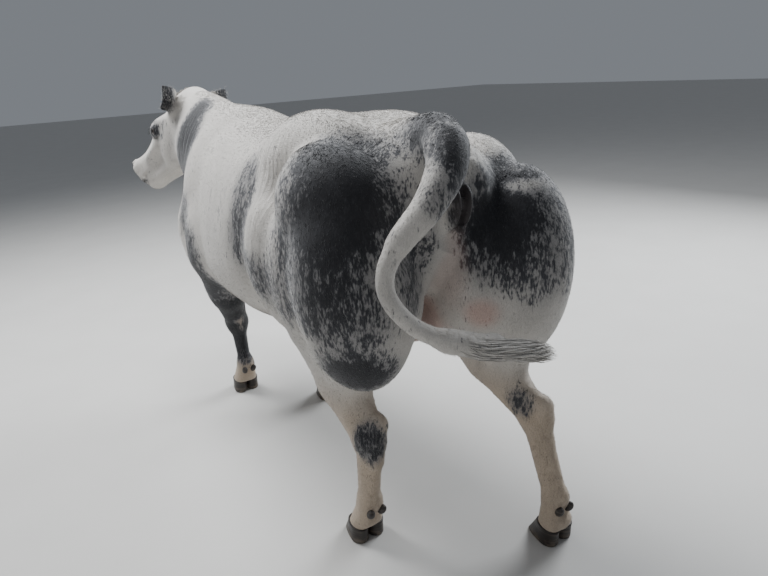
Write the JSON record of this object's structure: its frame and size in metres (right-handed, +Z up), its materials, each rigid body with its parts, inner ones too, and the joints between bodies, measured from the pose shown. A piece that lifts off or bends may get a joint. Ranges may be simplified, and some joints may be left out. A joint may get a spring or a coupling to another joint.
{
  "type": "cattle figure",
  "caption": "Life-size still model of a heavily muscled blue roan cow, standing with one hind leg back, head turned a little and tail swung to one side.",
  "frame": {"origin": "middle of the bounding box, on the floor under the soles", "axes": "+Z up, the head points to -Y, +X is the animal's left"},
  "size_m": [0.8028, 2.4428, 1.4132],
  "materials": {
    "hide_body": "short flat coat, cream white with blue-grey roan",
    "hide_neck": "short flat coat, white with a blue-grey patch",
    "hide_head": "very short coat, white",
    "hide_ear": "short coat, dark",
    "hide_thighs": "short flat coat, blue-grey roan",
    "hide_legs": "short coat, cream",
    "hide_tail": "short coat, cream with grey",
    "hide_switch": "long hair, cream",
    "eyes": "wet, nearly black",
    "hooves": "dark horn",
    "dewclaws": "dark horn"
  },
  "bodies": {
    "root": {"ear_left": "hide_ear", "ear_right": "hide_ear", "eye_left": "eyes", "eye_right": "eyes", "fore_arm_left": "hide_legs", "fore_arm_right": "hide_legs", "fore_dewclaw_left_a": "dewclaws", "fore_dewclaw_left_b": "dewclaws", "fore_dewclaw_right_a": "dewclaws", "fore_dewclaw_right_b": "dewclaws", "fore_foot_left": "hide_legs", "fore_foot_right": "hide_legs", "fore_hoof_left_a": "hooves", "fore_hoof_left_b": "hooves", "fore_hoof_right_a": "hooves", "fore_hoof_right_b": "hooves", "head": "hide_head", "hind_dewclaw_left_a": "dewclaws", "hind_dewclaw_left_b": "dewclaws", "hind_dewclaw_right_a": "dewclaws", "hind_dewclaw_right_b": "dewclaws", "hind_foot_left": "hide_legs", "hind_foot_right": "hide_legs", "hind_hoof_left_a": "hooves", "hind_hoof_left_b": "hooves", "hind_hoof_right_a": "hooves", "hind_hoof_right_b": "hooves", "hind_shank_left": "hide_legs", "hind_shank_right": "hide_legs", "hind_thigh_left": "hide_thighs", "hind_thigh_right": "hide_thighs", "neck": "hide_neck", "tail_middle": "hide_tail", "tail_switch": "hide_switch", "tail_upper": "hide_tail", "torso": "hide_body"}
  },
  "joints": []
}
